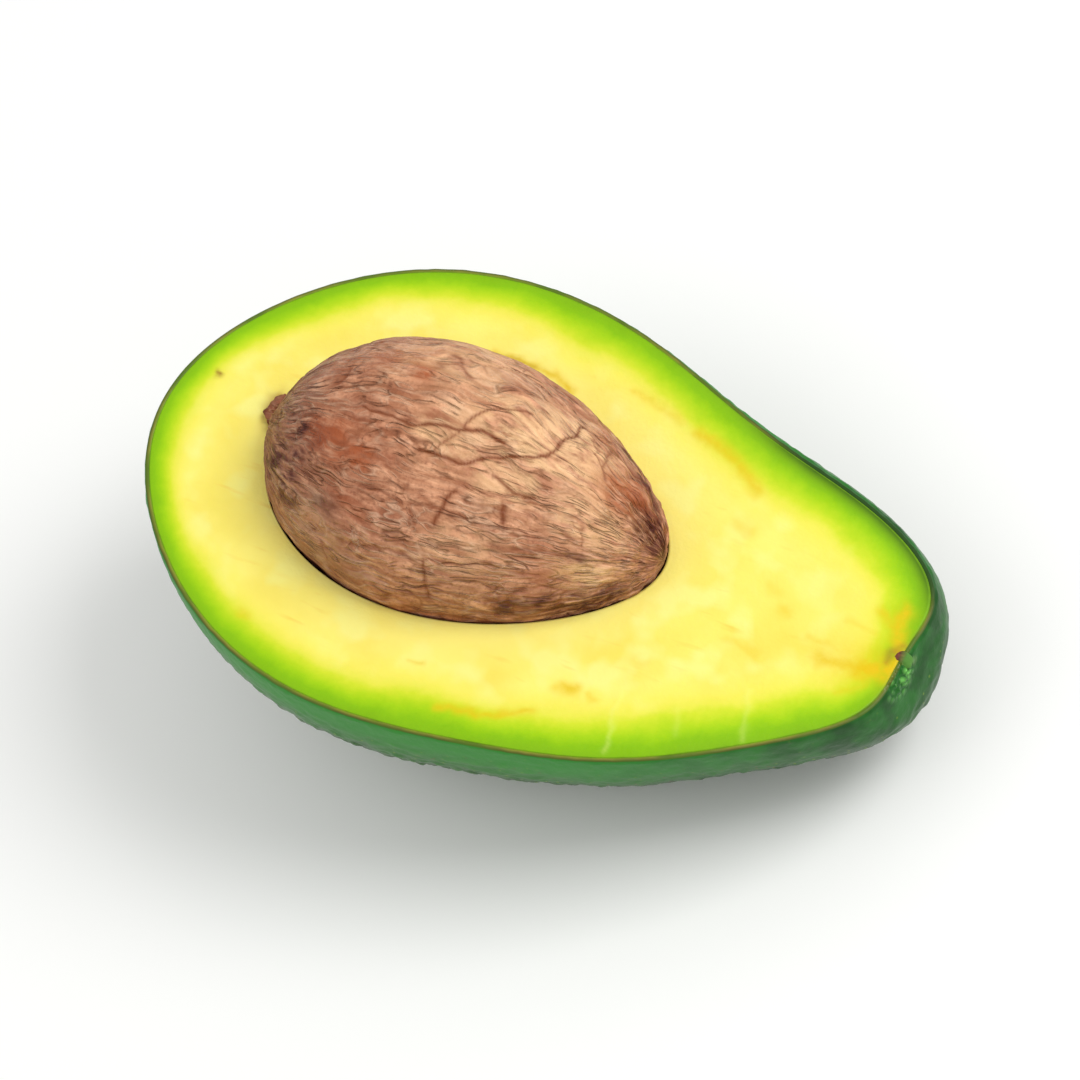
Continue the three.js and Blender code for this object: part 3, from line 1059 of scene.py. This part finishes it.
# Painted shade: the coat darkens towards the blunt end.
blunt_end_painted_shade = add(look, "SeparateXYZ", place, out="X")
blunt_end_painted_shade = add(look, "MapRange", blunt_end_painted_shade, -10.0, -36.0, 0.0, 0.45)
# Painted shade: the creases of the wrinkles are darkened.
painted_groove_shade = add(look, "Math", stored["groove"], 0.6, operation="MULTIPLY")
# Painted highlight on the wrinkle tops.
thread_highlight_share = add(look, "Math", painted_thread_highlights, 0.6, operation="MULTIPLY")
brown_share = add(look, "Math", brown_threads, 0.8, operation="MULTIPLY")
for share, colour in (
    (grain, "#955430"), (speckle_share, "#7c432c"), (blunt_end_painted_shade, "#84492c"),
    (painted_groove_shade, "#824626"), (thread_highlight_share, "#f3cba8"), (brown_share, "#743c1c"),
):
    coat_colour = add(look, "Mix", share, coat_colour, linear(colour), data_type="RGBA")

# %% [markdown]
# The stains, with their painted light and shade, come on top, with ragged edges, and the
# long cracks last. Threads and speckles are also a bump, so the light catches the paper of
# the coat.

# %% Stains, painted light and shade, and cracks of the seed coat
ragged = add(look, "Mapping", bent, None, None, (0.4, 1, 1))
ragged = add(look, "TexNoise", ragged, 1 / 1.3, 4.0)
ragged = add(look, "MapRange", ragged, 0.38, 0.56, 0.2, 1.0)
# The pale spots are partly painted light and the dark spots partly painted shade.
for name, colour, strength in (
    ("pale", "#fdcf98", 0.75), ("rust", "#a44a14", 0.8), ("dark", "#551c08", 1.0),
):
    share = add(look, "Math", stored[name], ragged, operation="MULTIPLY")
    share = add(look, "Math", share, strength, operation="MULTIPLY", use_clamp=True)
    coat_colour = add(look, "Mix", share, coat_colour, linear(colour), data_type="RGBA")
crack_share = add(look, "Math", stored["crack"], 1.6, operation="POWER")
coat_colour = add(look, "Mix", crack_share, coat_colour, linear("#7d3d16"), data_type="RGBA")
look.node_tree.links.new(coat_colour, shader.inputs["Base Color"])

height = add(look, "Math", painted_thread_highlights, brown_threads, operation="SUBTRACT")
height = add(look, "Math", speckle, 0.6, height, operation="MULTIPLY_ADD")
papery = add(look, "Bump", 0.9, 0.00028, None, height)
look.node_tree.links.new(papery, shader.inputs["Normal"])
print(look.name, "has", len(look.node_tree.nodes), "nodes")

# %% [markdown]
# **Dry stem.** A scrap of woody stalk, dull and crumbly: dark red-brown where it was cut,
# and still green at its outer end.

# %% Material: dry stem
look, shader = new_material("dry_stem", stub, Roughness=0.8, IOR=1.5)
place = add(look, "Attribute", out="Vector", attribute_name="own_mm")
crumb = add(look, "TexNoise", place, 1 / 0.5, 3.0)
stem_colour = add(look, "ValToRGB", crumb, stops=[(0.3, "#3f140f"), (0.7, "#8a4a34")])
outer_end = add(look, "SeparateXYZ", place, out="X")
outer_end = add(look, "MapRange", outer_end, 50.0, 51.0)
stem_colour = add(look, "Mix", outer_end, stem_colour, linear("#4f842c"), data_type="RGBA")
look.node_tree.links.new(stem_colour, shader.inputs["Base Color"])
crumbs = add(look, "Bump", 0.8, 0.0002, None, crumb)
look.node_tree.links.new(crumbs, shader.inputs["Normal"])
print(look.name, "has", len(look.node_tree.nodes), "nodes")

# %% [markdown]
# ## The studio
#
# A plain, pale, matt floor, far wider than the fruit, so no edge of it shows.

# %% Floor
FLOOR_HALF = 3.0  # metres

floor_mesh = bpy.data.meshes.new("floor")
corners = [(-1, -1), (1, -1), (1, 1), (-1, 1)]
corners = [(x * FLOOR_HALF, y * FLOOR_HALF, 0) for x, y in corners]
floor_mesh.from_pydata(corners, [], [(0, 1, 2, 3)])
floor = bpy.data.objects.new("floor", floor_mesh)
bpy.context.scene.collection.objects.link(floor)
floor_look, shader = new_material("matt_board", floor, Roughness=0.9)
shader.inputs["Base Color"].default_value = linear("#fafaf8")

# %% [markdown]
# The camera looks at the cut face almost as a reader looks at a page: 60 degrees
# above it, a little from the neck's end. Its three axes are given in the fruit's own
# frame and tipped with it. A long lens keeps the shape free of perspective.

# %% Camera
CAMERA_RIGHT = np.array([0.9181, 0.3910, -0.0653])
CAMERA_UP = np.array([-0.3081, 0.8075, 0.5030])
CAMERA_BACK = np.array([0.2494, -0.4417, 0.8618])
LENS = 150
SENSOR = 36
WIDTH_IN_VIEW = 0.142  # metres across the picture at the fruit

axes = [tip(axis) for axis in (CAMERA_RIGHT, CAMERA_UP, CAMERA_BACK)]
middle = Vector((cad_box[0] + cad_box[1]) / 2)
camera_data = bpy.data.cameras.new("camera")
camera_data.lens = LENS
camera_data.sensor_width = SENSOR
camera = bpy.data.objects.new("camera", camera_data)
bpy.context.scene.collection.objects.link(camera)
turned = Matrix([list(axis) for axis in axes]).transposed().to_4x4()
away = Vector(axes[2]) * (WIDTH_IN_VIEW * LENS / SENSOR)
camera.matrix_world = Matrix.Translation(middle + away) @ turned
bpy.context.scene.camera = camera
print("camera is", round(away.length, 3), "m from the fruit")

# %% [markdown]
# Soft light, as in a light tent: a bright grey-white world, one large lamp high on the
# neck's side, and a weaker one on the other side. Lamps are aimed from the camera's own
# axes, so the picture is lit the way it is seen.

# %% Lights
def soft_lamp(name, right, up, back, distance, size, power):
    """A square lamp, placed by the camera's axes and aimed at the fruit."""
    way = right * Vector(axes[0]) + up * Vector(axes[1]) + back * Vector(axes[2])
    lamp_data = bpy.data.lights.new(name, "AREA")
    lamp_data.energy = power
    lamp_data.size = size
    lamp = bpy.data.objects.new(name, lamp_data)
    lamp.location = middle + way.normalized() * distance
    lamp.rotation_euler = way.to_track_quat("Z", "Y").to_euler()
    bpy.context.scene.collection.objects.link(lamp)


soft_lamp("key_lamp", 0.45, 0.55, 0.7, 0.9, 0.5, 4.3)
soft_lamp("fill_lamp", -0.8, 0.1, 0.6, 1.0, 0.7, 1.4)
world = bpy.data.worlds.new("light_tent")
world.use_nodes = True
world.node_tree.nodes["Background"].inputs["Color"].default_value = (1, 1, 1, 1)
world.node_tree.nodes["Background"].inputs["Strength"].default_value = 0.68
bpy.context.scene.world = world
bpy.context.scene.view_settings.view_transform = "Standard"
